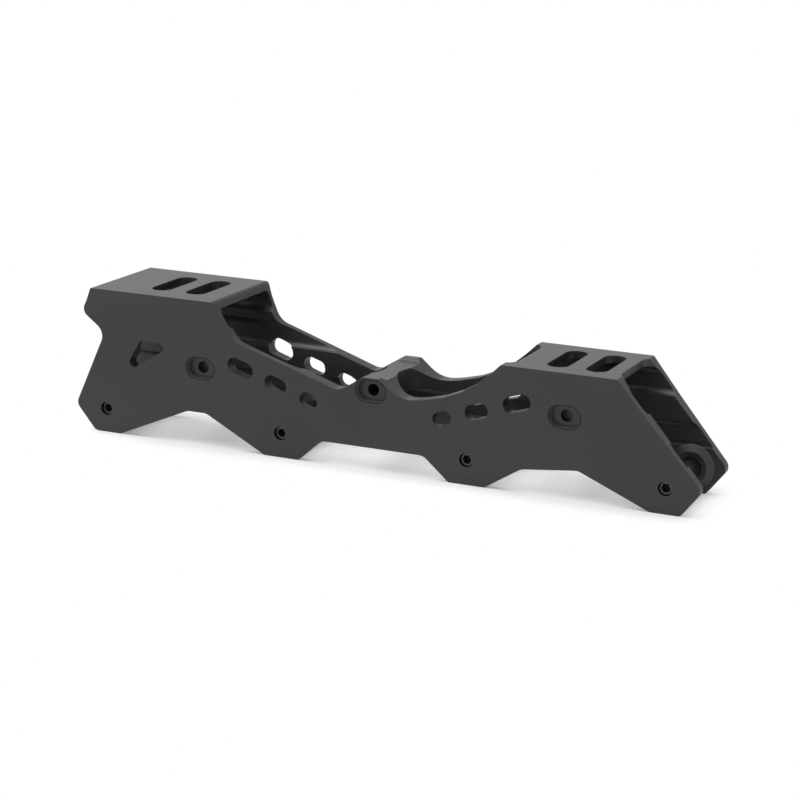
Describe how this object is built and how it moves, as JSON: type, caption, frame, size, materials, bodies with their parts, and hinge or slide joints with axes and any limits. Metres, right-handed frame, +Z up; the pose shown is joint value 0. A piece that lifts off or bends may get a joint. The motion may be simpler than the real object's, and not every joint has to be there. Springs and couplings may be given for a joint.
{
  "type": "inline skate frame",
  "caption": "Channel-shaped inline skate frame with stepped slotted boot platforms, leaning side walls with lightening holes, and cross axles for the wheels between its ears.",
  "frame": {"origin": "on the surface that the ear flats stand on, midway between the first and last axles and between the walls", "axes": "+X to the toe along the wheel line, +Y to the left side, +Z up from the ears to the boot"},
  "size_m": [0.2572, 0.0462, 0.0591],
  "materials": {
    "black_anodised": "satin black anodised over fine extrusion and milling lines",
    "black_steel": "black oxide, semi-gloss"
  },
  "bodies": {
    "frame": {"frame_channel": "black_anodised"},
    "axle_1": {"axle_1": "black_steel"},
    "axle_2": {"axle_2": "black_steel"},
    "axle_3": {"axle_3": "black_steel"},
    "axle_4": {"axle_4": "black_steel"}
  },
  "joints": [
    {"name": "axle_1_draw", "type": "slide", "parent": "frame", "child": "axle_1", "axis": [0, 1, 0], "range_m": [0, 0.0292]},
    {"name": "axle_2_draw", "type": "slide", "parent": "frame", "child": "axle_2", "axis": [0, 1, 0], "range_m": [0, 0.0292]},
    {"name": "axle_3_draw", "type": "slide", "parent": "frame", "child": "axle_3", "axis": [0, 1, 0], "range_m": [0, 0.0292]},
    {"name": "axle_4_draw", "type": "slide", "parent": "frame", "child": "axle_4", "axis": [0, 1, 0], "range_m": [0, 0.0292]}
  ]
}
